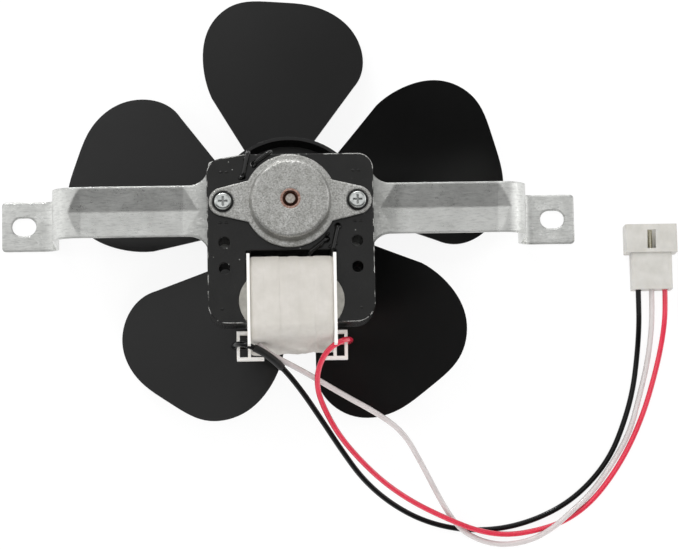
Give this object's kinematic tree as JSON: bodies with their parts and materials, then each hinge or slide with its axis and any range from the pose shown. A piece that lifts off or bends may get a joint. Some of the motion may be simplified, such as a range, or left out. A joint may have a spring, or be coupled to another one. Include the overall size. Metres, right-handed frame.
{
  "type": "range hood fan motor",
  "caption": "Shaded-pole motor on a hat-shaped sheet bracket, turning a shallow plastic fan inside the hat, with leads to a plug.",
  "frame": {"origin": "on the shaft's axis, in the plane of the ear faces that the bracket is screwed against", "axes": "+X along the bracket, +Z along the shaft from the fan towards the motor's rear cap"},
  "size_m": [0.348, 0.2814, 0.0904],
  "materials": {
    "mounting_bracket": "galvanised",
    "stator_stack": "black lacquer",
    "yoke_bar": "bare",
    "coil_bobbin": "natural nylon",
    "coil_winding": "cloth tape",
    "shading_ring_upper_outer": "black lacquer",
    "shading_ring_upper_inner": "black lacquer",
    "shading_ring_lower_outer": "black lacquer",
    "shading_ring_lower_inner": "black lacquer",
    "rear_bearing_cap": "die cast",
    "rear_bearing": "sintered bronze",
    "rear_oil_felt": "felt",
    "rear_felt_retainer": "spring steel",
    "front_bearing_cap": "die cast",
    "front_bearing": "sintered bronze",
    "front_oil_felt": "felt",
    "front_felt_retainer": "spring steel",
    "washer_left": "fibre",
    "screw_left": "zinc plated",
    "nut_left": "zinc plated",
    "washer_right": "fibre",
    "screw_right": "zinc plated",
    "nut_right": "zinc plated",
    "black_lead": "matte",
    "white_lead": "matte",
    "red_lead": "matte",
    "plug_housing": "natural nylon",
    "plug_contact_left": "tin plated",
    "plug_contact_middle": "tin plated",
    "plug_contact_right": "tin plated",
    "fan": "satin",
    "fan_clip": "spring steel",
    "motor_shaft": "ground",
    "rotor_core": "laminated",
    "rotor_cage": "cast",
    "rear_thrust_washer": "plain",
    "front_thrust_washer": "plain"
  },
  "bodies": {
    "motor": {"mounting_bracket": "mounting_bracket", "stator_stack": "stator_stack", "yoke_bar": "yoke_bar", "coil_bobbin": "coil_bobbin", "coil_winding": "coil_winding", "shading_ring_upper_outer": "shading_ring_upper_outer", "shading_ring_upper_inner": "shading_ring_upper_inner", "shading_ring_lower_outer": "shading_ring_lower_outer", "shading_ring_lower_inner": "shading_ring_lower_inner", "rear_bearing_cap": "rear_bearing_cap", "rear_bearing": "rear_bearing", "rear_oil_felt": "rear_oil_felt", "rear_felt_retainer": "rear_felt_retainer", "front_bearing_cap": "front_bearing_cap", "front_bearing": "front_bearing", "front_oil_felt": "front_oil_felt", "front_felt_retainer": "front_felt_retainer", "washer_left": "washer_left", "screw_left": "screw_left", "nut_left": "nut_left", "washer_right": "washer_right", "screw_right": "screw_right", "nut_right": "nut_right", "black_lead": "black_lead", "white_lead": "white_lead", "red_lead": "red_lead", "plug_housing": "plug_housing", "plug_contact_left": "plug_contact_left", "plug_contact_middle": "plug_contact_middle", "plug_contact_right": "plug_contact_right"},
    "rotor": {"fan": "fan", "fan_clip": "fan_clip", "motor_shaft": "motor_shaft", "rotor_core": "rotor_core", "rotor_cage": "rotor_cage", "rear_thrust_washer": "rear_thrust_washer", "front_thrust_washer": "front_thrust_washer"}
  },
  "joints": [
    {"name": "fan_spin", "type": "hinge", "parent": "motor", "child": "rotor", "pos_m": [0, 0, 0.0662], "axis": [0, 0, 1], "continuous": true}
  ]
}
